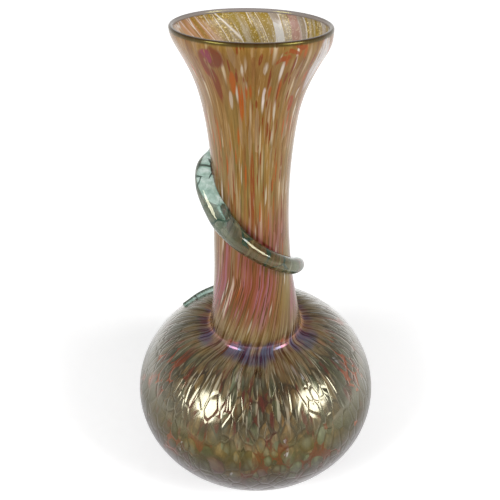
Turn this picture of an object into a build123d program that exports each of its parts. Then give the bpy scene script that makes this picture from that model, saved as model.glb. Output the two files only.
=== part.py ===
"""A hand blown vase with a long flared neck, a squat bulb and an applied glass trail.

Blown from nested gathers: the first bubble is the lining, fused colour chips are rolled on it, and a
clear casing is gathered over both and closed round over the lip. The trail is a tapering rope of hot
glass, wound once round the finished neck. Millimetres, +Z up, origin on the axis in the resting plane.
Turns are measured from the front (-Y), and grow towards +X.
"""
from build123d import *
import os
from math import cos, radians, sin, sqrt

# ---- driving dimensions: outside of the vase ----
height = 280.0                 # resting plane to the top of the lip
mouth_radius = 39.6            # outside of the flare
neck_radius = 20.8             # outside of the narrowest ring
foot_radius = 28.0             # outside of the neck where it meets the shoulder
foot_fillet = 4.8              # crease between neck and shoulder
shoulder_height = 97.4         # flat part of the shoulder above the resting plane
shoulder_reach = 24.5          # how far the shoulder runs out flat
shoulder_drop = 23.8           # how far the bulb's side runs up straight
bulb_radius = 77.9
equator_height = 48.0          # widest ring of the bulb above the resting plane
base_flattening = 7.1          # what the marver takes off the bulb's lower pole
pontil_radius = 13.0           # ground hollow where the pontil rod was
pontil_depth = 1.6

# ---- driving dimensions: walls and layers ----
lip_wall = 2.4                 # wall at the lip
base_wall = 9.0                # wall in the middle of the base
casing_share = 0.45            # the casing's share of the wall, from outside
colour_share = 0.20            # the colour layer's share of the wall
lip_cover = 4.0                # how far the casing alone forms the lip

# ---- driving dimensions: the trail ----
head_radius = 5.3              # half the rope's width near its head
tail_radius = 1.3              # and at its tail
trail_lift = 3.816             # the rope's centre above the glass at its head, less as it tapers
trail_spans = 10               # lofts, end to end, that carry the taper

# ---- worked out from the above ----
neck_length = height - shoulder_height
lip_radius = lip_wall / 2
under_radius = equator_height + base_flattening
base_radius = bulb_radius * sqrt(1 - (equator_height / under_radius) ** 2)
flare = mouth_radius - neck_radius
swell = foot_radius - neck_radius

os.makedirs("parts", exist_ok=True)

# ---- the outside meridian, from the lip down to the edge of the base ----
# rings of the neck: share of its length below the lip, and radius
neck_rings = [
    (0.049, neck_radius + 0.86 * flare),
    (0.084, neck_radius + 0.665 * flare),
    (0.146, neck_radius + 0.388 * flare),
    (0.230, neck_radius + 0.189 * flare),
    (0.345, neck_radius + 0.059 * flare),
    (0.481, neck_radius),
    (0.628, neck_radius + 0.083 * swell),
    (0.774, neck_radius + 0.292 * swell),
    (0.900, neck_radius + 0.736 * swell),
]
foot_height = shoulder_height + foot_fillet
shoulder_start = foot_radius + foot_fillet

with BuildLine() as neck_line:
    Spline(
        [(mouth_radius, height - lip_radius)]
        + [(radius, height - share * neck_length) for share, radius in neck_rings]
        + [(foot_radius, foot_height)],
        tangents=[(0, -1), (0, -1)],
        tangent_scalars=[1, 1],
    )
with BuildLine() as foot_line:
    CenterArc((shoulder_start, foot_height), foot_fillet, 180, 90)
with BuildLine() as shoulder_line:
    Bezier(
        (shoulder_start, shoulder_height),
        (shoulder_start + shoulder_reach, shoulder_height),
        (bulb_radius, equator_height + shoulder_drop),
        (bulb_radius, equator_height),
    )
with BuildLine() as under_line:
    base_angle = -Vector(base_radius / bulb_radius, equator_height / under_radius).get_angle(Vector(1, 0))
    EllipticalCenterArc((0, equator_height), bulb_radius, under_radius, 0, arc_size=base_angle)

meridian = [line.edges()[0] for line in (neck_line, foot_line, shoulder_line, under_line)]
meridian_length = sum(edge.length for edge in meridian)


def along_meridian(distance):
    """Point and downward tangent on the outside, this far below the lip."""
    for edge in meridian:
        if distance <= edge.length or edge is meridian[-1]:
            share = min(distance / edge.length, 1)
            return edge @ share, edge % share
        distance -= edge.length


def wall_at(distance):
    """The wall thickens towards the base, most of it below the equator."""
    return lip_wall + (base_wall - lip_wall) * (distance / meridian_length) ** 3


def inset(distance, depth):
    """Point inside the wall, depth being its share of the wall from the outside, and the tangent there."""
    point, tangent = along_meridian(distance)
    step = depth * wall_at(distance)
    return Vector(point.X + tangent.Y * step, point.Y - tangent.X * step), tangent


def layer_lines(depth):
    """Meridian of one surface inside the wall: an edge under each outside edge, the last on to the axis."""
    lines = []
    start, end = lip_cover, 0
    for edge, spans in zip(meridian, (8, 2, 5, 4)):
        end += edge.length
        last = edge is meridian[-1]
        stop = end - 0.05 * edge.length if last else end
        places = [inset(start + (stop - start) * span / spans, depth) for span in range(spans + 1)]
        points = [point for point, tangent in places]
        if last:
            points.append(Vector(0, depth * base_wall))
        end_tangents = [places[0][1], (-1, 0) if last else places[-1][1]]
        lines.append(Spline(points, tangents=end_tangents, tangent_scalars=[1, 1], mode=Mode.PRIVATE))
        start = stop
    return lines


lining_share = casing_share + colour_share

# ---- first bubble, flecked with aventurine: the inside of the vase ----
with BuildPart() as inner_lining:
    with BuildSketch(Plane.XZ):
        with BuildLine():
            outside = layer_lines(lining_share)
            inside = layer_lines(1)
            add(outside + inside)
            Line(outside[0] @ 0, inside[0] @ 0)
            Line(outside[-1] @ 1, inside[-1] @ 1)
        make_face()
    revolve(axis=Axis.Z)
inner_lining.part.label = "inner_lining"
export_step(inner_lining.part, "parts/inner_lining.step")

# ---- fused colour chips between lining and casing ----
with BuildPart() as colour_layer:
    with BuildSketch(Plane.XZ):
        with BuildLine():
            outside = layer_lines(casing_share)
            inside = layer_lines(lining_share)
            add(outside + inside)
            Line(outside[0] @ 0, inside[0] @ 0)
            Line(outside[-1] @ 1, inside[-1] @ 1)
        make_face()
    revolve(axis=Axis.Z)
colour_layer.part.label = "colour_layer"
export_step(colour_layer.part, "parts/colour_layer.step")

# ---- clear casing: closes over the lip and forms the ground base ----
with BuildPart() as outer_casing:
    with BuildSketch(Plane.XZ):
        with BuildLine():
            for line in (neck_line, foot_line, shoulder_line, under_line):
                add(line.line)
            under_colour = layer_lines(casing_share)
            add(under_colour)
            layers_end = inset(lip_cover, 1)[0]
            lip_inside = (mouth_radius - lip_wall, height - lip_radius)
            lip_outside = (mouth_radius, height - lip_radius)
            Line(under_colour[0] @ 0, layers_end)
            Line(layers_end, lip_inside)
            ThreePointArc(lip_inside, (mouth_radius - lip_radius, height), lip_outside)
            Line((base_radius, 0), (pontil_radius, 0))
            hollow = ThreePointArc(
                (-pontil_radius, 0), (0, pontil_depth), (pontil_radius, 0), mode=Mode.PRIVATE
            ).trim(0.5, 1)
            add(hollow)
            Line((0, pontil_depth), under_colour[-1] @ 1)
        make_face()
    revolve(axis=Axis.Z)
outer_casing.part.label = "outer_casing"
export_step(outer_casing.part, "parts/outer_casing.step")

# ---- the trail's route: turn round the axis in degrees, and way down from the lip in neck lengths ----
trail_route = [
    (-130, 0.419),
    (-90, 0.441),
    (-45, 0.527),
    (0, 0.627),
    (45, 0.710),
    (90, 0.776),
    (135, 0.849),
    (175, 0.926),
    (196, 1.004),
    (210, 1.065),
    (222, 1.137),
    (232, 1.209),
]


def rope_radius(share):
    """Half the rope's width: nearly even round the neck, then drawn out towards the tail."""
    return tail_radius + (head_radius - tail_radius) * (1 - share ** 3)


def rope_lift(share):
    """Height of the rope's centre above the glass, in step with its width."""
    return trail_lift * rope_radius(share) / head_radius


def on_glass(turn, distance, lift):
    """Point at this lift above the outside of the vase."""
    point, tangent = along_meridian(distance)
    reach = point.X - tangent.Y * lift
    return Vector(reach * sin(radians(turn)), -reach * cos(radians(turn)), point.Y + tangent.X * lift)


first_turn = trail_route[0][0]
wrap = trail_route[-1][0] - first_turn
with BuildLine() as trail_line:
    Spline(
        [
            on_glass(turn, way * meridian[0].length, rope_lift((turn - first_turn) / wrap))
            for turn, way in trail_route
        ]
    )
rope = trail_line.edges()[0]


# ---- the whole outside as one solid: the seat of the trail is cut to it ----
with BuildPart(mode=Mode.PRIVATE) as outside_form:
    with BuildSketch(Plane.XZ):
        with BuildLine():
            for line in (neck_line, foot_line, shoulder_line, under_line):
                add(line.line)
            Polyline((base_radius, 0), (0, 0), (0, height - lip_radius), (mouth_radius, height - lip_radius))
        make_face()
    revolve(axis=Axis.Z)

# ---- applied trail: a tapering rope that goes once round the neck, its tail drawn out over the shoulder ----
with BuildPart() as trail:
    for span in range(trail_spans):
        for step in (0, 0.5, 1):
            place = (span + step) / trail_spans
            centre = rope @ place
            along = rope % place
            sideways = Vector(centre.X, centre.Y, 0).cross(along)
            with BuildSketch(Plane(origin=centre, x_dir=sideways, z_dir=along)):
                Circle(rope_radius(place))
        loft()
    for place, away in ((0, -1), (1, 1)):
        with Locations(Plane(origin=rope @ place, z_dir=(rope % place) * away)):
            Sphere(rope_radius(place), arc_size1=0, align=(Align.CENTER, Align.CENTER, Align.MIN))
    add(outside_form.part, mode=Mode.SUBTRACT)
trail.part.label = "trail"
export_step(trail.part, "parts/trail.step")

print(f"base ring {base_radius:.1f} mm, meridian {meridian_length:.1f} mm, rope {rope.length:.0f} mm")
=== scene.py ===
# %% [markdown]
# # A hand blown vase with a glass trail
# The vase was blown from nested gathers of glass: a first bubble flecked with gold, a layer of fused
# colour chips, and a clear casing with a metallic shimmer. A tapering rope of hot glass, the trail, was
# then wound once round the neck. The frame gives the exact solids; here they get their hand-made
# surfaces, colours and light. Everything is in metres, +Z up, with the front towards -Y.
# %% The frame
import bpy
import math
import numpy as np
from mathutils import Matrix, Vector
from mathutils.kdtree import KDTree


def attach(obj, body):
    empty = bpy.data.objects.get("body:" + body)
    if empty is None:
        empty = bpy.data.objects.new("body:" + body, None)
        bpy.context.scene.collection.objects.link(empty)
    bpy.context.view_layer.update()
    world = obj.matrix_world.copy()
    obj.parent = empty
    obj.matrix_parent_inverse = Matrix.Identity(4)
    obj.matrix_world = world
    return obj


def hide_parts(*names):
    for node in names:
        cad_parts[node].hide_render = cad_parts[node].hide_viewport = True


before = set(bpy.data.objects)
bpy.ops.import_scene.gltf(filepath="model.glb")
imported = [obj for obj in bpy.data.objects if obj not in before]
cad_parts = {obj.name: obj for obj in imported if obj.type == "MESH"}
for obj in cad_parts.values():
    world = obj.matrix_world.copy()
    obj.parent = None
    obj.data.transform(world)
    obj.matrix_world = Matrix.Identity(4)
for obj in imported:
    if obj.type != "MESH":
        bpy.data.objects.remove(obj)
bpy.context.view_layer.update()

for node in bpy.context.selected_objects:
    node.select_set(False)

# %% [markdown]
# ## The camera
# The vase is seen from close by and from above, so the mouth looks large, the bulb tapers away below it
# and the inside of the flare can be seen. A fairly short lens close to the object keeps that strong
# perspective. It stands a little to the left, because the vase itself leans.
# %% Camera
eye_aside = -0.00205
eye_distance = 0.3056
eye_height = 0.348
pitch_down = math.radians(32.62)
lens_length = 44.26
bpy.ops.object.camera_add(
    location=(eye_aside, -eye_distance, eye_height),
    rotation=(math.pi / 2 - pitch_down, 0, 0),
)
camera = bpy.context.object
camera.data.lens = lens_length
camera.data.sensor_width = 36
camera.data.clip_start = 0.01
bpy.context.scene.camera = camera
bpy.context.scene.view_settings.view_transform = "Standard"
camera.select_set(False)
print("camera at", tuple(round(c, 3) for c in camera.location))

# %% [markdown]
# ## Helpers for materials
# A material is a small graph of nodes. These helpers keep each step to one line: one node with its
# inputs given as plain values or as another node's output, one mix of two colours, one sum.
# %% Helpers for materials
def new_material(name):
    material = bpy.data.materials.new(name)
    material.use_nodes = True
    material.node_tree.nodes.clear()
    return material, material.node_tree


def put(tree, kind, inputs=None, **settings):
    """One node, with its inputs set to values or linked to sockets."""
    node = tree.nodes.new(kind)
    for key, value in settings.items():
        setattr(node, key, value)
    for key, value in (inputs or {}).items():
        if isinstance(value, bpy.types.NodeSocket):
            tree.links.new(value, node.inputs[key])
        else:
            node.inputs[key].default_value = value
    return node


def paint(code):
    """A colour written as on a paint chart, turned into the linear values that Blender mixes."""
    parts = [int(code[i : i + 2], 16) / 255 for i in (0, 2, 4)]
    return [p / 12.92 if p <= 0.04045 else ((p + 0.055) / 1.055) ** 2.4 for p in parts] + [1.0]


def mix(tree, share, first, second, mode="MIX"):
    return put(
        tree, "ShaderNodeMix", {0: share, 6: first, 7: second}, data_type="RGBA", blend_type=mode
    ).outputs[2]


def calc(tree, operation, *values):
    return put(tree, "ShaderNodeMath", dict(enumerate(values)), operation=operation).outputs[0]


def times(tree, first, second):
    return calc(tree, "MULTIPLY", first, second)


def calc_vector(tree, operation, *values, output=0, **named):
    inputs = dict(enumerate(values)) | named
    return put(tree, "ShaderNodeVectorMath", inputs, operation=operation).outputs[output]


def step(tree, value, low, high, start=0.0, end=1.0):
    """Rises softly from start to end while the value goes from low to high."""
    return put(
        tree,
        "ShaderNodeMapRange",
        {0: value, 1: low, 2: high, 3: start, 4: end},
        interpolation_type="SMOOTHSTEP",
    ).outputs[0]


def ramp(tree, value, stops, interpolation="LINEAR"):
    """A colour for each value: stops are (place, colour code)."""
    node = put(tree, "ShaderNodeValToRGB", {0: value})
    elements = node.color_ramp.elements
    node.color_ramp.interpolation = interpolation
    while len(elements) < len(stops):
        elements.new(0.5)
    for element, (place, code) in zip(elements, stops):
        element.position = place
        element.color = paint(code)
    return node.outputs[0]


def stretch(tree, vector, around, down, offset=0.0):
    """The same flow drawn finer round the vase and along it, and moved to another part of a pattern."""
    return put(
        tree, "ShaderNodeMapping", {0: vector, 1: (offset, offset, offset), 3: (around, around, down)}
    ).outputs[0]


def on_object(tree):
    """Place on the object, in metres."""
    return put(tree, "ShaderNodeTexCoord").outputs["Object"]


def stored(tree, name, output="Fac"):
    """What the points of the piece carry under this name."""
    return put(tree, "ShaderNodeAttribute", attribute_name=name).outputs[output]


def finish_piece(piece, material, shader):
    """Ends the graph of a material in this shader and gives it to the piece."""
    tree = material.node_tree
    put(tree, "ShaderNodeOutputMaterial", {"Surface": shader.outputs[0]})
    piece.data.materials.append(material)
    print(material.name, "on", piece.name, "has", len(tree.nodes), "nodes")


print("helpers ready")

# %% [markdown]
# ## Light
# Plain soft studio light: a soft lamp each side of the camera, whose reflections are the two bright
# patches on the bulb, and a pale surround that is white at the level of the paper and dimmer overhead.
# White paper lies behind and under the vase. It is painted to look white from further off too, and near
# the vase it takes a soft shadow.
# %% Lamps and surround
def softbox(name, place, aim, width, height, power):
    bpy.ops.object.light_add(type="AREA", location=place)
    lamp = bpy.context.object
    lamp.name = name
    lamp.data.shape = "RECTANGLE"
    lamp.data.size = width
    lamp.data.size_y = height
    lamp.data.energy = power
    direction = lamp.location - Vector(aim)
    lamp.rotation_euler = direction.to_track_quat("Z", "Y").to_euler()
    lamp.select_set(False)


def seen_rays(tree):
    """One for what is seen directly, in a gloss or through glass, and zero for light on things."""
    rays = put(tree, "ShaderNodeLightPath").outputs
    seen = calc(tree, "MAXIMUM", rays["Is Camera Ray"], rays["Is Transmission Ray"])
    return calc(tree, "MAXIMUM", seen, rays["Is Glossy Ray"])


lamp_width = 0.37
lamp_height = 0.44
lamp_power = 7.8
lamp_aim = (0, 0, 0.09)
lamp_places = {"left_softbox": (-0.66, -0.54, 0.58), "right_softbox": (0.74, -0.42, 0.58)}
for name, place in lamp_places.items():
    softbox(name, place, lamp_aim, lamp_width, lamp_height, lamp_power)

world = bpy.data.worlds.new("studio")
bpy.context.scene.world = world
world.use_nodes = True
tree = world.node_tree
tree.nodes.clear()
plain_level = 0.23
overhead_level = 0.35
upward = put(tree, "ShaderNodeSeparateXYZ", {0: on_object(tree)}).outputs[2]
seen_level = step(tree, upward, 0.10, 0.50, 1.0, overhead_level)
extra = calc(tree, "SUBTRACT", seen_level, plain_level)
strength = calc(tree, "MULTIPLY_ADD", seen_rays(tree), extra, plain_level)
surround = put(tree, "ShaderNodeBackground", {"Color": (1, 1, 1, 1), "Strength": strength})
put(tree, "ShaderNodeOutputWorld", {"Surface": surround.outputs[0]})

floor_size = 6
floor_drop = 0.0002
bpy.ops.mesh.primitive_plane_add(size=floor_size, location=(0, 0, -floor_drop))
floor = bpy.context.object
floor.name = "floor"
floor.select_set(False)
material, tree = new_material("white_paper")
far = calc_vector(tree, "LENGTH", on_object(tree), output="Value")
near_fill, far_fill = 0.30, 0.85
fill = step(tree, far, 0.10, 0.60, near_fill, far_fill)
fibre = put(tree, "ShaderNodeTexNoise", {"Scale": 900.0, "Detail": 2.0})
paper = mix(tree, fibre.outputs[0], paint("F6F6F6"), paint("FFFFFF"))
matt = put(tree, "ShaderNodeBsdfDiffuse", {"Color": paper})
glow = put(tree, "ShaderNodeEmission", {"Strength": times(tree, seen_rays(tree), fill)})
both = put(tree, "ShaderNodeAddShader", {0: matt.outputs[0], 1: glow.outputs[0]})
finish_piece(floor, material, both)
print("two lamps, a pale surround and a floor")

# %% [markdown]
# ## The line of the vase
# A vase is turned on a rod, so one line says its whole outside: lip, neck, a small rounded crease, the
# flat shoulder, the bulb and the edge of the base. A few rings give the neck, with a smooth curve through
# them, and the bulb is two plain curves. Lengths along the line, down from the lip, later say where each
# layer ends and where each pattern lies.
# %% Outside line
height = 0.280
mouth_radius = 0.0396
neck_radius = 0.0208
foot_radius = 0.0280
crease = 0.0048
shoulder_height = 0.0974
shoulder_reach = 0.0245
shoulder_drop = 0.0238
bulb_radius = 0.0779
equator_height = 0.048
lower_radius = 0.0551
lip_wall = 0.0024
base_wall = 0.009
lip_cover = 0.0008
pontil_radius = 0.013
pontil_depth = 0.0016
lip_round = lip_wall / 2
neck_length = height - shoulder_height
flare = mouth_radius - neck_radius
swell = foot_radius - neck_radius

# rings of the neck: share of the flare or of the swell, and share of the neck below the lip
flare_rings = [(0.86, 0.049), (0.665, 0.084), (0.388, 0.146), (0.189, 0.230), (0.059, 0.345), (0, 0.481)]
swell_rings = [(0.083, 0.628), (0.292, 0.774), (0.736, 0.900)]
neck_rings = [(mouth_radius, height - lip_round)]
for wider, rings in ((flare, flare_rings), (swell, swell_rings)):
    neck_rings += [(neck_radius + share * wider, height - down * neck_length) for share, down in rings]
neck_rings.append((foot_radius, shoulder_height + crease))


def bend(t, start, leaving, end, arriving):
    """Points of a smooth curve between two ends, t going from 0 to 1, with its direction at each end."""
    return (
        (2 * t**3 - 3 * t**2 + 1) * start
        + (t**3 - 2 * t**2 + t) * leaving
        + (3 * t**2 - 2 * t**3) * end
        + (t**3 - t**2) * arriving
    )


def through(rings, spans=24):
    """A smooth line through rings of (radius, height), upright at both ends."""
    rings = np.array(rings)
    gaps = np.linalg.norm(np.diff(rings, axis=0), axis=1)
    count = len(rings)
    left = np.zeros((count, count))
    right = np.zeros((count, 2))
    left[0, 0] = left[-1, -1] = 1
    right[0] = right[-1] = (0, -1)
    for i in range(1, count - 1):
        a, b = gaps[i - 1], gaps[i]
        left[i, i - 1], left[i, i], left[i, i + 1] = b, 2 * (a + b), a
        right[i] = 3 * (b * (rings[i] - rings[i - 1]) / a + a * (rings[i + 1] - rings[i]) / b)
    slopes = np.linalg.solve(left, right)
    t = np.linspace(0, 1, spans, endpoint=False)[:, None]
    return np.vstack([
        bend(t, rings[i], gap * slopes[i], rings[i + 1], gap * slopes[i + 1]) for i, gap in enumerate(gaps)
    ])


turns = np.linspace(math.pi, 1.5 * math.pi, 24, endpoint=False)
crease_line = np.column_stack([
    foot_radius + crease + crease * np.cos(turns),
    shoulder_height + crease + crease * np.sin(turns),
])
t = np.linspace(0, 1, 120, endpoint=False)[:, None]
corners = [
    (foot_radius + crease, shoulder_height),
    (foot_radius + crease + shoulder_reach, shoulder_height),
    (bulb_radius, equator_height + shoulder_drop),
    (bulb_radius, equator_height),
]
corners = [np.array(c) for c in corners]
shares = [(1 - t) ** 3, 3 * t * (1 - t) ** 2, 3 * t**2 * (1 - t), t**3]
shoulder_line = sum(share * corner for share, corner in zip(shares, corners))
turns = np.linspace(0, -math.asin(equator_height / lower_radius), 120)
under_line = np.column_stack([bulb_radius * np.cos(turns), equator_height + lower_radius * np.sin(turns)])
outside = np.vstack([through(neck_rings), crease_line, shoulder_line, under_line])
outside_way = np.concatenate([[0], np.cumsum(np.linalg.norm(np.diff(outside, axis=0), axis=1))])
full_way = outside_way[-1]
along = np.gradient(outside, outside_way, axis=0)
along /= np.linalg.norm(along, axis=1)[:, None]
inward = np.column_stack([along[:, 1], -along[:, 0]])
print("outside line", round(full_way * 1000, 1), "mm from lip to base")


def at_way(way, pairs):
    """Reads pairs that go with the outside line, this far below the lip: one row for each way."""
    return np.column_stack([np.interp(way, outside_way, pairs[:, k]) for k in (0, 1)])


def under_surface(way, depth):
    """Radius and height, this share of the wall under the surface. The wall is thickest in the base."""
    wall = lip_wall + (base_wall - lip_wall) * (way / full_way) ** 3
    return at_way(way, outside) + at_way(way, inward) * (depth * wall)[:, None]


# %% [markdown]
# ## Hand-made shape
# No blown neck is quite straight. It was swung a little to the left while it was soft, by under two
# millimetres either way, the flare is fuller on its right, and the lip isn't quite level. Everything
# that is part of it or stuck to it follows. A very slight wave round the bulb keeps its reflections from
# looking machine made.
# %% Lean
base_aside = 0.0017
neck_swing = 0.0031
oval = 0.0022
three_sided = 0.0014
neck_fuller = 0.018
flare_fuller = 0.055
lip_lift = 0.0009
lip_tilt = 0.0006


def rise(value, low, high):
    """Rises softly from zero to one while the value goes from low to high."""
    share = np.clip((value - low) / (high - low), 0, 1)
    return share * share * (3 - 2 * share)


def by_hand(points):
    """Moves points of the straight form to where the hand-made form has them."""
    x, y, z = points.T
    sides_for_shade_and_rust = base_aside - neck_swing * rise(z, 0.085, 0.180)
    turn = np.arctan2(x, -y)
    waves = np.clip(z / 0.02, 0, 1) * np.clip((0.28 - z) / 0.05, 0, 1)
    wide = 1 + waves * oval * np.sin(2 * turn + 30 * z + 0.6)
    wide += waves * three_sided * np.sin(3 * turn - 22 * z + 2.0)
    wide += neck_fuller * rise(z, 0.105, 0.130) * (1 - rise(z, 0.235, 0.270))
    on_right = np.clip(np.sin(turn), 0, 1) ** 2
    wide += flare_fuller * on_right * rise(z, 0.236, 0.262) * (1 - rise(z, 0.268, 0.279))
    lift = (lip_lift - lip_tilt * (x + y) / mouth_radius) * rise(z, 0.245, 0.278)
    return np.column_stack([x * wide + sides_for_shade_and_rust, y * wide, z + lift])


print("lean from", round((base_aside - neck_swing) * 1000, 1), "to", round(base_aside * 1000, 1), "mm")

# %% [markdown]
# ## Flow of the glass
# The chips of colour were round when they were rolled on. Blowing spread them on the bulb, and drawing
# out the neck pulled them into long streaks. Instead of painting streaks, each point gets a place in the
# unstretched glass: turns round the rod, and a way down it that runs slowly where the glass was drawn
# far. Patterns read that place, so they stretch and gather as the real ones do, with no seam. The foot of
# the neck was twisted a little as it was drawn, so the streaks lean there.
# %% Flow
cells_round = 60
# way down from the lip, and how long one chip is there
chip_length = np.array([
    (0.000, 0.016),
    (0.030, 0.026),
    (0.070, 0.036),
    (0.150, 0.040),
    (0.185, 0.027),
    (0.200, 0.020),
    (0.225, 0.016),
    (0.245, 0.012),
    (0.265, 0.010),
    (0.330, 0.009),
])
flow_way = np.linspace(0, 0.34, 400)
flow_rate = 1 / np.interp(flow_way, chip_length[:, 0], chip_length[:, 1])
flow_down = np.concatenate([[0], np.cumsum((flow_rate[1:] + flow_rate[:-1]) / 2 * np.diff(flow_way))])
# way down from the lip, and how far the glass has turned there, in radians
turn_at = np.array([(0.0, 0.0), (0.11, 0.0), (0.14, 0.12), (0.185, 0.62), (0.20, 0.66), (0.33, 0.66)])
line_step = 0.0001
line_points = at_way(np.arange(0, full_way, line_step), outside)
line_tree = KDTree(len(line_points))
for index, (radius, level) in enumerate(line_points):
    line_tree.insert((radius, level, 0), index)
line_tree.balance()
print("chips round the rod", cells_round, "- chips from lip to base", round(flow_down[-1], 1))


def give_flow(piece, spiral=0.0):
    """Stores for each point its place in the unstretched glass, its way down from the lip and its depth."""
    mesh = piece.data
    points = np.empty(len(mesh.vertices) * 3)
    mesh.vertices.foreach_get("co", points)
    points = points.reshape(-1, 3)
    radius = np.hypot(points[:, 0], points[:, 1])
    nearest = [line_tree.find((r, z, 0)) for r, z in zip(radius, points[:, 2])]
    way = np.array([found[1] for found in nearest]) * line_step
    depth = np.array([found[2] for found in nearest])
    turn = np.arctan2(points[:, 0], -points[:, 1])
    turn = turn + np.interp(way, turn_at[:, 0], turn_at[:, 1]) + spiral * way
    reach = cells_round / (2 * math.pi)
    flow = np.column_stack([reach * np.sin(turn), -reach * np.cos(turn), np.interp(way, flow_way, flow_down)])
    mesh.attributes.new("flow", "FLOAT_VECTOR", "POINT").data.foreach_set("vector", flow.ravel())
    mesh.attributes.new("way", "FLOAT", "POINT").data.foreach_set("value", way)
    mesh.attributes.new("depth", "FLOAT", "POINT").data.foreach_set("value", depth)


# %% [markdown]
# ## Turning a gather
# Each gather is a closed wall, so it is made as on a lathe: one point is extruded along one face of the
# wall and back along the other, and Spin turns that line round the axis. Ends that lie on the axis merge
# to one point, so that the poles are closed, and the normals are worked out after the merge.
# %% Turned wall
merge_within = 0.00001


def clear_selection():
    for chosen in list(bpy.context.selected_objects):
        chosen.select_set(False)


def turned_wall(name, section, segments=144):
    """A closed piece from a section of (radius, height) that starts and ends on the axis."""
    clear_selection()
    bpy.ops.mesh.primitive_plane_add(size=0.002, location=(0, 0, 0))
    piece = bpy.context.object
    piece.name = name
    piece.data.name = name
    bpy.ops.object.mode_set(mode="EDIT")
    bpy.ops.mesh.select_all(action="SELECT")
    bpy.ops.mesh.merge(type="CENTER")
    here = (section[0][0], 0.0, section[0][1])
    bpy.ops.transform.translate(value=here)
    for radius, level in section[1:]:
        there = (radius, 0.0, level)
        bpy.ops.mesh.extrude_region_move(
            TRANSFORM_OT_translate={"value": [b - a for a, b in zip(here, there)]}
        )
        here = there
    bpy.ops.mesh.select_all(action="SELECT")
    bpy.ops.mesh.spin(
        steps=segments, angle=2 * math.pi, center=(0, 0, 0), axis=(0, 0, 1), use_auto_merge=False
    )
    bpy.ops.mesh.select_all(action="SELECT")
    bpy.ops.mesh.remove_doubles(threshold=merge_within)
    bpy.ops.mesh.normals_make_consistent(inside=False)
    bpy.ops.object.mode_set(mode="OBJECT")
    bpy.ops.object.shade_smooth()
    return piece


def shape_by_hand(piece):
    mesh = piece.data
    points = np.empty(len(mesh.vertices) * 3)
    mesh.vertices.foreach_get("co", points)
    mesh.vertices.foreach_set("co", by_hand(points.reshape(-1, 3)).ravel())
    mesh.update()


print("a wall is turned from its section")


# %% [markdown]
# ## Clear casing
# The outer gather covers the whole outside, closes over the layers at the lip and thickens to the
# foot, where the base is ground flat round a small hollow that the rod left.
# %% Casing
casing_share = 0.45
colour_share = 0.20
lining_share = casing_share + colour_share
under_length = full_way - np.interp(-equator_height, -outside[:, 1], outside_way)
# rows of points down the line, closest at the lip and in the crease, where it bends most
ways = np.concatenate([
    np.linspace(0, 0.012, 9)[:-1],
    np.linspace(0.012, 0.174, 74)[:-1],
    np.linspace(0.174, 0.196, 20)[:-1],
    np.linspace(0.196, full_way, 66),
])
inner_ways = np.concatenate([
    np.linspace(lip_cover, 0.170, 40)[:-1],
    np.linspace(0.170, 0.205, 14)[:-1],
    np.linspace(0.205, full_way - 0.05 * under_length, 30),
])


def inner_line(depth):
    """Section of a surface inside the wall, from its end below the lip to the axis."""
    line = under_surface(inner_ways, depth)
    start, pole = line[-1], np.array([0, depth * base_wall])
    heading = line[-1] - line[-2]
    heading = heading / np.linalg.norm(heading) * start[0]
    t = np.linspace(0, 1, 16)[1:, None]
    return np.vstack([line, bend(t, start, heading, pole, np.array([-start[0], 0]))])


t = np.linspace(0, math.pi, 11)[1:-1]
lip_line = np.column_stack([
    mouth_radius - lip_round + lip_round * np.cos(t),
    height - lip_round + lip_round * np.sin(t),
])
ball = (pontil_radius**2 + pontil_depth**2) / (2 * pontil_depth)
t = np.linspace(0, math.asin(pontil_radius / ball), 7)
pontil_line = np.column_stack([ball * np.sin(t), pontil_depth - ball + ball * np.cos(t)])
base_line = np.array([(r, 0.0) for r in (0.018, 0.026, 0.034)])
casing_section = np.vstack([
    pontil_line,
    base_line,
    at_way(ways, outside)[::-1],
    lip_line,
    [(mouth_radius - lip_wall, height - lip_round)],
    under_surface(np.array([lip_cover]), 1.0),
    inner_line(casing_share),
])
casing = turned_wall("casing", casing_section.tolist())
give_flow(casing)
shape_by_hand(casing)
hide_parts("outer_casing")
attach(casing, "root")
print("casing", len(casing.data.polygons), "faces")

# %% [markdown]
# ## Colour layer and lining
# Inside the casing lie the fused chips, and inside them the first bubble, which is what shows in the
# mouth. Both are closed walls of the same line, each a share of the wall deeper.
# %% Colour layer and lining
lining_spiral = 15.0
colour_section = np.vstack([inner_line(casing_share)[::-1], inner_line(lining_share)])
lining_section = np.vstack([inner_line(lining_share)[::-1], inner_line(1.0)])
colour = turned_wall("colour_chips", colour_section.tolist(), segments=72)
lining = turned_wall("lining", lining_section.tolist())
for piece, node, slot, spiral in (
    (colour, "colour_layer", "fused_colour", 0.0),
    (lining, "inner_lining", "aventurine_lining", lining_spiral),
):
    give_flow(piece, spiral)
    shape_by_hand(piece)
    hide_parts(node)
    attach(piece, "root")
    print(piece.name, len(piece.data.polygons), "faces")

# %% [markdown]
# ## Trail
# The trail is a rope of hot glass laid once round the neck and drawn out over the shoulder. It could be
# extruded ring by ring, but a curve with a round bevel and a radius at each point gives the taper and the
# smooth run in one step. It is then made a mesh, so that its ends and its seat can be shaped.
# %% Trail
head_radius = 0.0053
tail_radius = 0.0013
trail_lift = 0.72
thicker, thick_turn, thick_reach = 0.16, -42, 30
# turn round the vase in degrees, and way down from the lip in neck lengths
trail_route = [
    (-130, 0.419),
    (-90, 0.441),
    (-45, 0.530),
    (-22, 0.582),
    (0, 0.627),
    (45, 0.710),
    (90, 0.776),
    (135, 0.849),
    (175, 0.940),
    (196, 1.045),
    (210, 1.115),
    (224, 1.150),
    (240, 1.175),
]
neck_way = np.interp(-(shoulder_height + crease), -outside[:, 1], outside_way)


def rope_radius(share):
    return tail_radius + (head_radius - tail_radius) * (1 - share**3)


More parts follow.
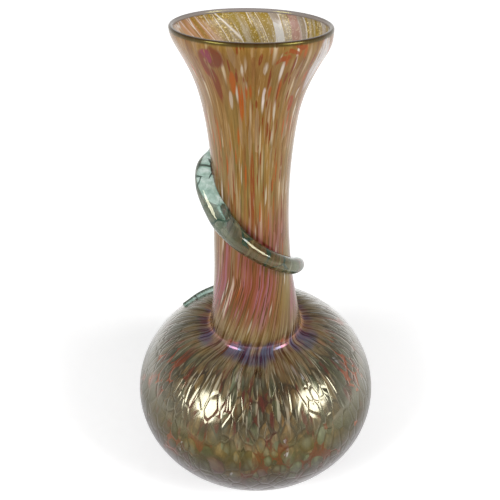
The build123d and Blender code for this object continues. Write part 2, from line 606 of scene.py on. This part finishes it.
def laid(turn, way, lift):
    """A point at this lift above the vase, this far round it and down it."""
    radius, level = at_way(way, outside)[0] - at_way(way, inward)[0] * lift
    return radius * math.sin(math.radians(turn)), -radius * math.cos(math.radians(turn)), level


first_turn, last_turn = trail_route[0][0], trail_route[-1][0]
clear_selection()
bpy.ops.curve.primitive_bezier_curve_add()
trail = bpy.context.object
trail.name = "glass_trail"
curve = trail.data
curve.splines.clear()
spline = curve.splines.new("BEZIER")
spline.bezier_points.add(len(trail_route) - 1)
for knot, (turn, share) in zip(spline.bezier_points, trail_route):
    place = (turn - first_turn) / (last_turn - first_turn)
    knot.co = laid(turn, share * neck_way, trail_lift * rope_radius(place))
    knot.radius = rope_radius(place) * (1 + thicker * math.exp(-(((turn - thick_turn) / thick_reach) ** 2)))
    knot.handle_left_type = knot.handle_right_type = "AUTO"
spline.resolution_u = 24
curve.dimensions = "3D"
curve.bevel_depth = 1.0
curve.bevel_resolution = 10
trail.location = (0, 0, 0)
trail.rotation_euler = (0, 0, 0)
bpy.ops.object.convert(target="MESH")
trail = bpy.context.object
trail.data.name = "glass_trail"
print("trail", len(trail.data.polygons), "faces")

# %% [markdown]
# ## Round ends
# Hot glass ends round. Each open end of the rope is filled with one flat face, the only kind here with
# more than four corners, and this is extruded out in a few rings that close in as a half ball does.
# %% Round ends
end_angles = (18, 36, 54, 70, 82)
bpy.ops.object.mode_set(mode="EDIT")
bpy.ops.mesh.select_mode(type="FACE")
bpy.ops.mesh.select_all(action="SELECT")
bpy.ops.mesh.fill_holes(sides=0)
bpy.ops.mesh.normals_make_consistent(inside=False)
bpy.ops.mesh.select_all(action="DESELECT")
bpy.ops.object.mode_set(mode="OBJECT")
flat_ends = [face for face in trail.data.polygons if len(face.vertices) > 4]
print("open ends filled", len(flat_ends))
for end in range(len(flat_ends)):
    cap = next(face for face in trail.data.polygons if len(face.vertices) > 4)
    centre, out = cap.center.copy(), cap.normal.copy()
    radius = (cap.area / math.pi) ** 0.5
    for face in trail.data.polygons:
        face.select = face.index == cap.index
    bpy.ops.object.mode_set(mode="EDIT")
    away, width = 0.0, 1.0
    for angle in end_angles:
        next_away, next_width = math.sin(math.radians(angle)), math.cos(math.radians(angle))
        bpy.ops.mesh.extrude_region_move(
            TRANSFORM_OT_translate={"value": tuple(out * radius * (next_away - away))}
        )
        bpy.ops.transform.resize(
            value=(next_width / width,) * 3, center_override=tuple(centre + out * radius * next_away)
        )
        away, width = next_away, next_width
    bpy.ops.mesh.poke()
    bpy.ops.mesh.select_all(action="DESELECT")
    bpy.ops.object.mode_set(mode="OBJECT")
print("ends rounded, faces", len(trail.data.polygons))

# %% [markdown]
# ## Seat on the neck
# Soft glass flattens where it is laid on a wall. Points of the rope that would lie deeper in the vase
# than a tenth of a millimetre move out to that depth, which makes the flat seat and leaves no gap. The
# seat is worked out on the straight form, and the rope then leans with the neck.
# %% Seat on the neck
bpy.ops.object.mode_set(mode="EDIT")
bpy.ops.mesh.select_all(action="SELECT")
bpy.ops.mesh.remove_doubles(threshold=merge_within)
bpy.ops.mesh.normals_make_consistent(inside=False)
bpy.ops.object.mode_set(mode="OBJECT")
seat_depth = 0.0001
pressed = 0
for vertex in trail.data.vertices:
    radius = math.hypot(vertex.co.x, vertex.co.y)
    near, index = line_tree.find((radius, vertex.co.z, 0))[:2]
    into = at_way(index * line_step, inward)[0]
    depth = (radius - near.x) * into[0] + (vertex.co.z - near.y) * into[1]
    if depth > seat_depth:
        seat_radius, seat_level = np.array([near.x, near.y]) + into * seat_depth
        vertex.co.x *= seat_radius / radius
        vertex.co.y *= seat_radius / radius
        vertex.co.z = seat_level
        pressed += 1
give_flow(trail)
shape_by_hand(trail)
smooth_below = math.radians(50)
bpy.ops.object.shade_smooth_by_angle(angle=smooth_below)
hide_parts("trail")
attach(trail, "root")
print("points pressed on the neck", pressed, "of", len(trail.data.vertices))

# %% [markdown]
# ## Patterns in hot glass
# Every pattern reads the flow, so it is drawn out where the glass was. `cells` gives a mosaic of chips
# that touch, `drops` gives separate rounded flecks, `spot` marks one place on the vase, and `band` marks
# a ring of it.
# %% Patterns
def read_flow(tree, wander=0.5, scale=0.4):
    """Place in the unstretched glass, wandering a little as hot glass does."""
    flow = stored(tree, "flow", "Vector")
    drift = put(tree, "ShaderNodeTexNoise", {"Vector": flow, "Scale": scale, "Detail": 2.0}).outputs["Color"]
    drift = calc_vector(tree, "SUBTRACT", drift, (0.5, 0.5, 0.5))
    drift = calc_vector(tree, "SCALE", drift, Scale=wander)
    return calc_vector(tree, "ADD", flow, drift), stored(tree, "way")


def cells(tree, vector):
    """For a mosaic of chips: three random values each, distance to the edge and to the middle."""
    chip = put(tree, "ShaderNodeTexVoronoi", {"Vector": vector, "Scale": 1.0})
    edge = put(tree, "ShaderNodeTexVoronoi", {"Vector": vector, "Scale": 1.0}, feature="DISTANCE_TO_EDGE")
    return chip.outputs["Color"], edge.outputs["Distance"], chip.outputs["Distance"]


def split(tree, colour):
    return put(tree, "ShaderNodeSeparateColor", {0: colour}).outputs


def noise(tree, vector, scale=1.0, detail=2.0, rough=0.5):
    return put(
        tree, "ShaderNodeTexNoise", {"Vector": vector, "Scale": scale, "Detail": detail, "Roughness": rough}
    ).outputs[0]


def drops(tree, vector, share, size=0.5, soft=0.25):
    """Separate rounded flecks: one inside this share of all cells, softly zero round them."""
    fleck = put(tree, "ShaderNodeTexVoronoi", {"Vector": vector, "Scale": 1.0})
    body = step(tree, fleck.outputs["Distance"], size - soft, size, 1.0, 0.0)
    chosen = calc(tree, "LESS_THAN", split(tree, fleck.outputs["Color"])[0], share)
    return times(tree, body, chosen)


def band(tree, way, rise_from, rise_to, fall_from, fall_to):
    """One between two places on the way down, soft at both ends."""
    up = step(tree, way, rise_from, rise_to)
    down = step(tree, way, fall_from, fall_to, 1.0, 0.0)
    return times(tree, up, down)


def spot(tree, flow, turn, way, wide, tall, soft=0.5):
    """One within an oval at this turn in degrees and this way down, wide and tall in metres, softly zero."""
    here = math.radians(turn) + np.interp(way, turn_at[:, 0], turn_at[:, 1])
    reach = cells_round / (2 * math.pi)
    down = np.interp(way, flow_way, flow_down)
    across = 0.5 * wide * reach / at_way(way, outside)[0][0]
    along_flow = 0.5 * tall / np.interp(way, chip_length[:, 0], chip_length[:, 1])
    middle = (reach * math.sin(here), -reach * math.cos(here), down)
    apart = calc_vector(tree, "SUBTRACT", flow, middle)
    apart = calc_vector(tree, "DIVIDE", apart, (across, across, along_flow))
    away = calc_vector(tree, "LENGTH", apart, output="Value")
    return step(tree, away, 1.0 - soft, 1.0 + soft, 1.0, 0.0)


def lay(tree, share, base, code, most=1.0):
    """Lays a colour, written as on a paint chart, over another by a mask."""
    return mix(tree, times(tree, share, most), base, paint(code))


print("patterns ready")

# %% [markdown]
# ## Finish of the casing
# The outside is a mosaic. On the bulb it shows whole chips, olive, sage and tan, with thin seams between
# them and rusty red glass in the gaps; up the neck the same chips are pulled into streaks. The chips
# could be pieces of their own, but they are fused into the wall, so a pattern in the material is nearer
# to the real thing. Chips at the sides are laid in darker as painted shade, because the gloss adds most
# light there, and the lower bulb is laid a little darker too, also painted shade.
# %% Chips of the bulb
material, tree = new_material("iridescent_casing")
flow, way = read_flow(tree, 0.9, 0.35)
chip, edge, middle = cells(tree, flow)
small_chip, small_edge, small_middle = cells(tree, stretch(tree, flow, 1.65, 1.65, 17.0))
crowd = calc(tree, "GREATER_THAN", noise(tree, stretch(tree, flow, 0.35, 0.35, 23.0), detail=1.0), 0.53)
chip = mix(tree, crowd, chip, small_chip)
edge = calc(tree, "MULTIPLY_ADD", crowd, calc(tree, "SUBTRACT", small_edge, edge), edge)
middle = calc(tree, "MULTIPLY_ADD", crowd, calc(tree, "SUBTRACT", small_middle, middle), middle)
first, second, third = split(tree, chip)[:3]
low = step(tree, way, 0.225, 0.285)
region = noise(tree, stretch(tree, flow, 0.10, 0.18, 3.0), detail=1.0)
region = step(tree, region, 0.38, 0.62)
pick = calc(tree, "MULTIPLY_ADD", region, 0.32, times(tree, low, 0.18))
pick = calc(tree, "MULTIPLY_ADD", first, 0.50, pick)
chips = ramp(tree, pick, [
    (0.00, "52341A"),
    (0.10, "6E5230"),
    (0.20, "3E2E1A"),
    (0.28, "7C6444"),
    (0.38, "584628"),
    (0.46, "806C56"),
    (0.54, "585A44"),
    (0.66, "4E5648"),
    (0.76, "788472"),
    (0.86, "5A5C5A"),
], "CONSTANT")
cloud = noise(tree, stretch(tree, flow, 1.9, 1.5, 3.0), detail=4.0, rough=0.7)
cloud_tone = ramp(tree, cloud, [(0.32, "2E2818"), (0.50, "78725C"), (0.68, "B8B29C")])
chips = mix(tree, 0.9, chips, cloud_tone, "OVERLAY")
heart = times(tree, step(tree, middle, 0.1, 0.5, 1.0, 0.0), calc(tree, "MULTIPLY_ADD", low, 0.25, 0.12))
chips = lay(tree, heart, chips, "94A08C")
grain = noise(tree, stretch(tree, flow, 2.4, 1.6, 40.0), detail=3.0)
torn = step(tree, grain, 0.38, 0.46)
white_chip = drops(tree, stretch(tree, flow, 2.3, 1.0, 44.0), 0.035, 0.6, 0.10)
white_chip = times(tree, white_chip, step(tree, grain, 0.50, 0.55))
mauve_chip = times(tree, calc(tree, "LESS_THAN", second, 0.10), low)
chips = lay(tree, white_chip, chips, "B4B0B4", 0.8)
chips = lay(tree, mauve_chip, chips, "5A2A46", 0.8)

rim = step(tree, edge, 0.0, 0.13, 1.0, 0.0)
rim_tone = ramp(tree, noise(tree, flow, 0.7, 2.0), [
    (0.36, "140A04"),
    (0.47, "2C2014"),
    (0.56, "463A2A"),
    (0.66, "200E06"),
])
chips = mix(tree, times(tree, rim, 0.8), chips, rim_tone)
hair = noise(tree, stretch(tree, flow, 4.6, 0.8, 81.0), detail=3.0, rough=0.6)
hair_most = step(tree, way, 0.212, 0.245, 0.6, 0.0)
chips = lay(tree, times(tree, step(tree, hair, 0.58, 0.64), hair_most), chips, "B4AA94")
chips = lay(tree, times(tree, step(tree, hair, 0.36, 0.43, 1.0, 0.0), hair_most), chips, "0E0804")

corner = calc(tree, "SUBTRACT", middle, times(tree, edge, 0.9))
hot = noise(tree, stretch(tree, flow, 0.42, 0.42, 1.1), detail=2.0)
rust_reach = step(tree, hot, 0.47, 0.62, 0.90, 0.46)
rust = step(tree, calc(tree, "SUBTRACT", corner, rust_reach), -0.05, 0.05)
rust_tone = ramp(tree, noise(tree, flow, 1.3, 3.0), [
    (0.34, "120202"),
    (0.46, "340604"),
    (0.56, "4C1206"),
    (0.66, "200402"),
])
across = put(tree, "ShaderNodeSeparateXYZ", {0: on_object(tree)}).outputs[0]
# painted shade: chips at the sides are laid darker to offset the light the gloss adds there; the same side
# mask also makes the rust there more orange
sides_for_shade_and_rust = step(tree, calc(tree, "ABSOLUTE", across), 0.030, 0.060)
chips = lay(tree, sides_for_shade_and_rust, chips, "2A241C", 0.70)
# painted shade: the bulb is laid a little darker from the shoulder downwards
chips = lay(tree, step(tree, way, 0.215, 0.245), chips, "1A1008", 0.25)
orange = calc(tree, "MAXIMUM", sides_for_shade_and_rust, times(tree, low, 0.5))
rust_tone = lay(tree, orange, rust_tone, "742A04")
chips = mix(tree, times(tree, rust, 0.92), chips, rust_tone)
ruby = drops(tree, stretch(tree, flow, 1.9, 1.3, 52.0), 0.20, 0.5, 0.15)
ruby = times(tree, ruby, torn)
chips = lay(tree, times(tree, ruby, calc(tree, "SUBTRACT", 1.0, low)), chips, "46080A", 0.85)
print("chips of the bulb")

# %% [markdown]
# ## Streaks of the neck
# Drawn out, the chips are streaks. Fine noise and a mosaic of tan give the ground, and above the foot
# there is a broad rose zone. Separate drops of pale, amber, white and red glass are laid over both, since
# a noise alone gives no drop with an edge. `torn` breaks some of them up, as the pull did.
# %% Streaks of the neck
fine = noise(tree, stretch(tree, flow, 3.0, 1.1, 5.0), detail=5.0, rough=0.7)
streaks = ramp(tree, fine, [
    (0.37, "2A1406"),
    (0.45, "58381C"),
    (0.51, "744F2C"),
    (0.58, "825F38"),
    (0.65, "AA9070"),
])
tan = cells(tree, stretch(tree, flow, 1.5, 1.3, 9.0))[0]
tone = ramp(tree, split(tree, tan)[0], [
    (0.00, "603814"),
    (0.22, "745026"),
    (0.44, "785A3E"),
    (0.60, "683420"),
    (0.74, "605030"),
    (0.88, "887060"),
], "CONSTANT")
streaks = mix(tree, 0.5, streaks, tone)
streaks = lay(tree, step(tree, way, 0.020, 0.075, 0.35, 0.0), streaks, "70400E")
pale = drops(tree, stretch(tree, flow, 1.7, 1.1, 14.0), 0.20, 0.6, 0.45)
streaks = lay(tree, pale, streaks, "B4A28C", 0.7)

pink_zone = band(tree, way, 0.080, 0.120, 0.160, 0.185)
lobes = step(tree, noise(tree, stretch(tree, flow, 0.18, 0.20, 2.2), detail=1.0), 0.46, 0.57)
for turn, at, wide, tall in ((6, 0.118, 0.024, 0.050), (-16, 0.150, 0.036, 0.050)):
    lobes = calc(tree, "MAXIMUM", lobes, spot(tree, flow, turn, at, wide, tall, 0.6))
pink = times(tree, pink_zone, lobes)
rose = ramp(tree, noise(tree, stretch(tree, flow, 1.9, 0.7, 12.0), detail=3.0), [
    (0.36, "3C0206"),
    (0.46, "66101A"),
    (0.54, "72203A"),
    (0.64, "804060"),
])
streaks = mix(tree, times(tree, pink, 0.85), streaks, rose)
streaks = lay(tree, spot(tree, flow, 58, 0.140, 0.016, 0.050), streaks, "64501A", 0.7)

amber_share = step(tree, way, 0.060, 0.120, 0.24, 0.06)
amber_and_painted_refraction = drops(tree, stretch(tree, flow, 1.5, 1.9, 20.0), amber_share, 0.5, 0.3)
streaks = lay(tree, amber_and_painted_refraction, streaks, "8A2E06", 0.85)
white_share = step(tree, way, 0.060, 0.140, 0.06, 0.02)
white = drops(tree, stretch(tree, flow, 1.6, 1.6, 27.0), white_share, 0.5, 0.35)
streaks = lay(tree, white, streaks, "C4B8B0", 0.8)
red_share = calc(tree, "MULTIPLY_ADD", pink, 0.36, 0.12)
red = drops(tree, stretch(tree, flow, 2.6, 1.4, 33.0), red_share, 0.5, 0.15)
red = calc(tree, "MAXIMUM", red, drops(tree, stretch(tree, flow, 2.0, 2.8, 63.0), 0.13, 0.45, 0.15))
red = times(tree, red, torn)
streaks = lay(tree, red, streaks, "600402", 0.95)
streaks = lay(tree, times(tree, red, pink), streaks, "2A0002", 0.8)
wisp = drops(tree, stretch(tree, flow, 1.8, 2.4, 71.0), 0.07, 0.55, 0.4)
streaks = lay(tree, times(tree, wisp, torn), streaks, "BCB2A8", 0.6)
print("streaks of the neck")

# %% [markdown]
# ## Places that stand out
# A few marks are larger than the rest: crimson near the lip at the left, red slips at the right, thin dark
# red threads at mid neck. A noise can't be told where to put them, so each is an oval with its own place.
# %% Places that stand out
# turn, way down, width, length, colour, and how much it covers
places = [
    (-28, 0.0065, 0.013, 0.009, "560010", 1.00),
    (-32, 0.0055, 0.006, 0.007, "6A003C", 1.00),
    (-36, 0.0110, 0.0040, 0.014, "5E0006", 1.00),
    (-31, 0.0200, 0.0034, 0.018, "5A0006", 1.00),
    (34, 0.0025, 0.007, 0.0022, "700C02", 0.95),
    (28, 0.0055, 0.008, 0.0022, "781602", 0.90),
    (22, 0.0085, 0.007, 0.0030, "7C1C02", 0.85),
    (43, 0.0300, 0.003, 0.010, "7A0E04", 0.90),
    (-16, 0.0210, 0.003, 0.013, "8A3404", 0.85),
    (-10, 0.0310, 0.0025, 0.018, "8A3004", 0.85),
    (2, 0.0850, 0.0022, 0.045, "66080A", 0.90),
    (-22, 0.0880, 0.0020, 0.020, "66080A", 0.90),
    (12, 0.0230, 0.0014, 0.009, "C0B0B0", 0.65),
    (-20, 0.0290, 0.0016, 0.009, "B4A8A0", 0.50),
    (60, 0.0100, 0.010, 0.024, "B0AEB4", 0.65),
    (-36, 0.1500, 0.0025, 0.034, "B09A8E", 0.75),
]
for turn, at, wide, tall, code, most in places:
    mark = times(tree, spot(tree, flow, turn, at, wide, tall, 0.22), torn)
    streaks = lay(tree, mark, streaks, code, most)
print(len(places), "places that stand out")

# %% [markdown]
# ## Bulb, foot and lip
# The chips take over from the streaks at a ragged edge on the shoulder. Dark and pale rays run out from
# the crease at the foot of the neck. The crease is laid dark with patches of blue and purple, painted
# shade and painted iridescent sheen. The base is laid dark violet, painted shade against the gloss there
# and painted iridescent sheen, and the lip is bare dark glass. Points that lie well inside the outer face,
# in the mouth, are grey.
# %% Outside colour
ragged = noise(tree, stretch(tree, flow, 1.2, 0.4, 6.0), detail=2.0)
ragged = calc(tree, "MULTIPLY_ADD", ragged, 0.03, way)
on_bulb = step(tree, ragged, 0.201, 0.219)
colour_out = mix(tree, on_bulb, streaks, chips)
foot = band(tree, way, 0.150, 0.184, 0.190, 0.210)
rays_out = noise(tree, stretch(tree, flow, 2.2, 0.8, 50.0), detail=4.0, rough=0.65)
foot_tone = ramp(tree, rays_out, [
    (0.34, "100804"),
    (0.43, "34200E"),
    (0.50, "62563A"),
    (0.58, "847860"),
    (0.65, "4A0E04"),
    (0.72, "948870"),
])
colour_out = mix(tree, times(tree, foot, 0.75), colour_out, foot_tone)
wave_way = noise(tree, stretch(tree, flow, 1.5, 0.2, 70.0), detail=2.0)
wave_way = calc(tree, "MULTIPLY_ADD", wave_way, 0.012, way)
crease_ring = band(tree, wave_way, 0.183, 0.187, 0.193, 0.201)
patch = step(tree, noise(tree, stretch(tree, flow, 0.5, 0.3, 60.0), detail=1.0), 0.48, 0.58)
# painted shade and painted iridescent sheen: the crease is laid dark, with blue and purple
crease_shade_and_sheen_tone = ramp(tree, rays_out, [
    (0.34, "120A14"),
    (0.44, "2A1636"),
    (0.54, "3A4A62"),
    (0.64, "54485E"),
    (0.72, "1E121C"),
])
crease_shade_and_sheen_share = times(tree, crease_ring, calc(tree, "MULTIPLY_ADD", patch, 0.70, 0.06))
colour_out = mix(tree, crease_shade_and_sheen_share, colour_out, crease_shade_and_sheen_tone)
# three spots of the same painted shade and sheen, at the front and both sides of the crease
for turn in (-4, -68, 64):
    crease_shade_and_sheen_spot = spot(tree, flow, turn, 0.191, 0.018, 0.009)
    colour_out = mix(tree, times(tree, crease_shade_and_sheen_spot, 0.65), colour_out, crease_shade_and_sheen_tone)
# painted shade and painted iridescent sheen: the base is laid dark violet, offsetting the floor seen in its
# gloss
base_painted_shade_and_sheen = step(tree, way, 0.242, 0.278)
colour_out = lay(tree, base_painted_shade_and_sheen, colour_out, "200C34", 0.92)
lip_glass = step(tree, way, 0.0002, 0.0012, 0.9, 0.0)
colour_out = lay(tree, lip_glass, colour_out, "2C1E0E")
colour_out = lay(tree, step(tree, stored(tree, "depth"), 0.0010, 0.0018), colour_out, "8E8684", 0.9)
print("outside colour")

# %% [markdown]
# ## Relief and shimmer
# Each chip stands a little above its seam and faces its own way, so a reflection breaks up into pieces,
# as on beaten metal. Steps this fine would take millions of faces, so they are left to the material. A
# golden tint in the gloss, a clear coat on the upper bulb, and a thin metal film in places at the crease
# give the shimmer.
# %% Relief and shimmer
chip_tilt = 0.050
film_nanometres, film_spread = 126.0, 7.0
relief = times(tree, step(tree, edge, 0.0, 0.14), on_bulb)
ribs = noise(tree, stretch(tree, flow, 2.6, 0.8, 31.0), detail=2.0)
relief = calc(tree, "MULTIPLY_ADD", ribs, 0.4, relief)
bump = put(tree, "ShaderNodeBump", {"Strength": 0.22, "Distance": 0.0006, "Height": relief}).outputs[0]
tilt = calc_vector(tree, "SUBTRACT", chip, (0.5, 0.5, 0.5))
tilt = calc_vector(tree, "SCALE", tilt, Scale=times(tree, on_bulb, chip_tilt))
normal = calc_vector(tree, "NORMALIZE", calc_vector(tree, "ADD", bump, tilt))

sheen_here = calc(tree, "MULTIPLY_ADD", rays_out, 1.6, crease_ring)
thickness = calc(tree, "MULTIPLY_ADD", third, film_spread, film_nanometres)
thickness = times(tree, thickness, calc(tree, "GREATER_THAN", sheen_here, 1.35))
polish = times(tree, on_bulb, step(tree, way, 0.228, 0.250, 0.9, 0.0))
shader = put(tree, "ShaderNodeBsdfPrincipled", {
    "Base Color": colour_out,
    "Roughness": 0.20,
    "Coat Weight": polish,
    "Coat Roughness": 0.16,
    "Coat IOR": 1.65,
    "Coat Normal": normal,
    "IOR": 1.5,
    "Specular Tint": paint("FFF280"),
    "Normal": normal,
    "Thin Film Thickness": thickness,
    "Thin Film IOR": 2.2,
})
finish_piece(casing, material, shader)

# %% [markdown]
# ## Finish of the lining
# In the mouth the first bubble shows: wide stripes that lean as they go down, some packed with flakes of
# gold aventurine, others white, grey-lilac or pink. The flakes are tiny mirrors, so each small cell
# gets its own brightness as a painted glint, and the brightest flakes get paler painted glints on top.
# %% Lining finish
material, tree = new_material("aventurine_lining")
flow, way = read_flow(tree, 0.6, 0.3)
stripe, stripe_edge = cells(tree, stretch(tree, flow, 0.60, 0.40, 9.0))[:2]
stripe = split(tree, stripe)[0]
stripes = ramp(tree, stripe, [
    (0.00, "8A7224"),
    (0.28, "968878"),
    (0.38, "96785C"),
    (0.48, "BCB8B0"),
    (0.56, "8A7220"),
    (0.76, "A07868"),
    (0.86, "8E7428"),
    (0.94, "806070"),
], "CONSTANT")
gold = times(tree, calc(tree, "GREATER_THAN", stripe, 0.58), calc(tree, "LESS_THAN", stripe, 0.76))
gold = calc(tree, "MAXIMUM", calc(tree, "LESS_THAN", stripe, 0.28), gold)
gold = times(tree, gold, step(tree, noise(tree, stretch(tree, flow, 1.2, 0.7, 30.0)), 0.36, 0.50))
flake = put(tree, "ShaderNodeTexVoronoi", {"Vector": on_object(tree), "Scale": 1900.0}).outputs["Color"]
flake = split(tree, flake)[0]
# gold of the aventurine flakes, with the brighter ones as painted glints
glitter = ramp(tree, flake, [
    (0.0, "64500E"),
    (0.4, "846A14"),
    (0.7, "9C7C1C"),
    (0.88, "C0A040"),
    (1.0, "F8E890"),
])
stripes = mix(tree, times(tree, gold, 0.85), stripes, glitter)
# painted glints: the brightest flakes are laid paler still
painted_flake_glints = times(tree, calc(tree, "GREATER_THAN", flake, 0.88), 0.35)
stripes = mix(tree, painted_flake_glints, stripes, paint("E0D8B8"))
veil = noise(tree, stretch(tree, flow, 1.6, 0.6, 8.0), detail=4.0, rough=0.6)
stripes = mix(tree, step(tree, veil, 0.46, 0.62, 0.0, 0.5), stripes, paint("BCB2A8"))
stripes = mix(tree, step(tree, veil, 0.30, 0.44, 0.6, 0.0), stripes, paint("846A34"))
glow = spot(tree, flow, -112, 0.014, 0.030, 0.050)
glow_tone = ramp(tree, veil, [(0.38, "8A6408"), (0.50, "A86C20"), (0.62, "B07C52")])
stripes = mix(tree, times(tree, glow, 0.8), stripes, glow_tone)
thread = step(tree, stripe_edge, 0.0, 0.05, 0.9, 0.0)
thread = times(tree, thread, step(tree, noise(tree, flow, 0.5, 1.0), 0.42, 0.52))
stripes = mix(tree, thread, stripes, paint("DAD2CA"))
shader = put(tree, "ShaderNodeBsdfPrincipled", {
    "Base Color": stripes,
    "Roughness": 0.42,
})
finish_piece(lining, material, shader)

# %% [markdown]
# ## Finish of the colour layer
# The chips lie between two walls and show only if the vase is taken apart, so their finish is the chips
# alone: colour, seams and a fused, slightly rough face.
# %% Colour layer finish
material, tree = new_material("fused_colour")
chip, edge = cells(tree, read_flow(tree)[0])[:2]
fused = ramp(tree, split(tree, chip)[0], [
    (0.0, "8A7A54"),
    (0.3, "84906E"),
    (0.5, "9A4A1E"),
    (0.65, "985452"),
    (0.8, "C4B29C"),
    (0.9, "70704E"),
], "CONSTANT")
fused = mix(tree, step(tree, edge, 0.0, 0.08, 0.7, 0.0), fused, paint("3A2A1C"))
relief = put(tree, "ShaderNodeBump", {"Strength": 0.3, "Distance": 0.0004, "Height": edge}).outputs[0]
shader = put(tree, "ShaderNodeBsdfPrincipled", {"Base Color": fused, "Roughness": 0.35, "Normal": relief})
finish_piece(colour, material, shader)

# %% [markdown]
# ## Finish of the trail
# The trail is clear glass, faintly green, with a few dark green veins that cross it. It is a real glass
# shader, so the neck and the light show through it, with the veins laid over. At the front it is also
# laid amber, a painted refraction of the neck behind it.
# %% Trail finish
material, tree = new_material("veined_glass")
place = on_object(tree)
bent = put(tree, "ShaderNodeTexNoise", {"Vector": place, "Scale": 90.0, "Detail": 2.0}).outputs["Color"]
place = calc_vector(tree, "ADD", place, calc_vector(tree, "SCALE", bent, Scale=0.008))
net = put(tree, "ShaderNodeTexVoronoi", {"Vector": place, "Scale": 85.0}, feature="DISTANCE_TO_EDGE")
broad = noise(tree, place, 70.0, 2.0)
vein_width = step(tree, broad, 0.42, 0.66, -0.02, 0.07)
vein = step(tree, calc(tree, "SUBTRACT", net.outputs[0], vein_width), -0.02, 0.02, 0.85, 0.0)
mottle = noise(tree, place, 260.0, 3.0)
tint = ramp(tree, mottle, [(0.34, "7E9A8C"), (0.48, "9CB4A8"), (0.64, "C0CEC6")])
# painted refraction: the front of the trail is laid amber, as the neck behind it shows through
amber_and_painted_refraction = spot(tree, stored(tree, "flow", "Vector"), 8, 0.125, 0.026, 0.080)
tint = lay(tree, amber_and_painted_refraction, tint, "8A7010", 0.8)
glass = put(tree, "ShaderNodeBsdfPrincipled", {
    "Base Color": tint,
    "Roughness": 0.03,
    "IOR": 1.5,
    "Transmission Weight": 0.85,
    "Specular Tint": paint("FFF8D8"),
})
green = put(tree, "ShaderNodeBsdfPrincipled", {
    "Base Color": paint("0E3424"),
    "Roughness": 0.08,
})
both = put(tree, "ShaderNodeMixShader", {0: vein, 1: glass.outputs[0], 2: green.outputs[0]})
finish_piece(trail, material, both)
